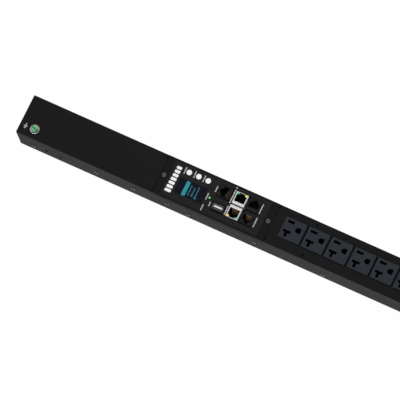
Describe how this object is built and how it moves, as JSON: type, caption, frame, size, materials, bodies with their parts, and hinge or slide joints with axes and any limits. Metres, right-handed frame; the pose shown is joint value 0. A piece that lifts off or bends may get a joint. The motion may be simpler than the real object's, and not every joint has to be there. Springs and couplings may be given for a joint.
{
  "type": "rack power distribution unit",
  "caption": "Long slim rack power strip with a folded black case, a swappable controller with display, buttons and data ports, and a row of mains outlets.",
  "frame": {"origin": "middle of the back, on the surface that the unit lies on", "axes": "+X along the unit from the inlet end to the far end, +Z out of the outlet face, +Y across the face towards the side that the line slots are nearest"},
  "size_m": [0.9144, 0.0542, 0.053],
  "materials": {
    "black_steel": "fine black powder coat",
    "black_screw": "black oxide, satin",
    "plated_steel": "bright zinc plate",
    "green_screw": "green dyed plate",
    "module_plastic": "black moulded, lightly textured",
    "fascia_plastic": "dark grey satin",
    "display_glass": "tinted clear",
    "display_panel": "dark panel with lit fields",
    "button_plastic": "white satin",
    "light_pipe": "clear green, lit",
    "board_laminate": "green solder mask",
    "jack_plastic": "black moulded",
    "jack_shield": "nickel plate",
    "gilt_contact": "gold flash",
    "outlet_plastic": "dark blue-grey moulded",
    "bar_copper": "bare copper",
    "carrier_plastic": "natural insulating plastic",
    "inlet_plastic": "black moulded",
    "inlet_blade": "nickel plate",
    "line_insulation": "black insulation",
    "neutral_insulation": "white insulation",
    "ground_insulation": "green insulation",
    "ferrite": "dark sintered core"
  },
  "bodies": {
    "chassis": {"front_shell": "black_steel", "back_plate": "black_steel", "inlet_end_plate": "black_steel", "far_end_plate": "black_steel", "side_screws": "black_screw", "ground_washer": "plated_steel", "ground_nut": "plated_steel", "mounting_nuts": "plated_steel", "meter_shelf": "plated_steel", "inlet_screws": "plated_steel", "tab_screws": "plated_steel", "ground_screw": "green_screw", "controller_housing": "module_plastic", "controller_fascia": "fascia_plastic", "display_window": "display_glass", "display_module": "display_panel", "status_light": "light_pipe", "display_board": "board_laminate", "main_board": "board_laminate", "meter_board": "board_laminate", "serial_jack": "jack_plastic", "sensor_jack_upper": "jack_plastic", "sensor_jack_lower": "jack_plastic", "usb_body": "jack_plastic", "lan_insert_upper": "jack_plastic", "lan_insert_lower": "jack_plastic", "lan_shield_upper": "jack_shield", "lan_shield_lower": "jack_shield", "usb_shell": "jack_shield", "jack_contacts": "gilt_contact", "outlet_01": "outlet_plastic", "outlet_02": "outlet_plastic", "outlet_03": "outlet_plastic", "outlet_04": "outlet_plastic", "outlet_05": "outlet_plastic", "outlet_06": "outlet_plastic", "outlet_07": "outlet_plastic", "outlet_08": "outlet_plastic", "outlet_09": "outlet_plastic", "outlet_10": "outlet_plastic", "outlet_11": "outlet_plastic", "outlet_12": "outlet_plastic", "outlet_13": "outlet_plastic", "outlet_14": "outlet_plastic", "outlet_15": "outlet_plastic", "outlet_16": "outlet_plastic", "line_bus_bar": "bar_copper", "neutral_bus_bar": "bar_copper", "ground_bus_bar": "bar_copper", "bar_carrier": "carrier_plastic", "inlet_socket": "inlet_plastic", "inlet_pins": "inlet_blade", "line_lead": "line_insulation", "neutral_lead": "neutral_insulation", "ground_lead": "ground_insulation", "current_sensor": "ferrite"},
    "button_1": {"button_1": "button_plastic"},
    "button_2": {"button_2": "button_plastic"},
    "button_3": {"button_3": "button_plastic"},
    "reset_plunger": {"reset_plunger": "button_plastic"}
  },
  "joints": [
    {"name": "button_1_press", "type": "slide", "parent": "chassis", "child": "button_1", "axis": [0, 0, -1], "range_m": [0, 0.0007], "stiffness_N_per_m": 1500},
    {"name": "button_2_press", "type": "slide", "parent": "chassis", "child": "button_2", "axis": [0, 0, -1], "range_m": [0, 0.0007], "stiffness_N_per_m": 1500},
    {"name": "button_3_press", "type": "slide", "parent": "chassis", "child": "button_3", "axis": [0, 0, -1], "range_m": [0, 0.0007], "stiffness_N_per_m": 1500},
    {"name": "reset_plunger_press", "type": "slide", "parent": "chassis", "child": "reset_plunger", "axis": [0, 0, -1], "range_m": [0, 0.0004], "stiffness_N_per_m": 1500}
  ]
}
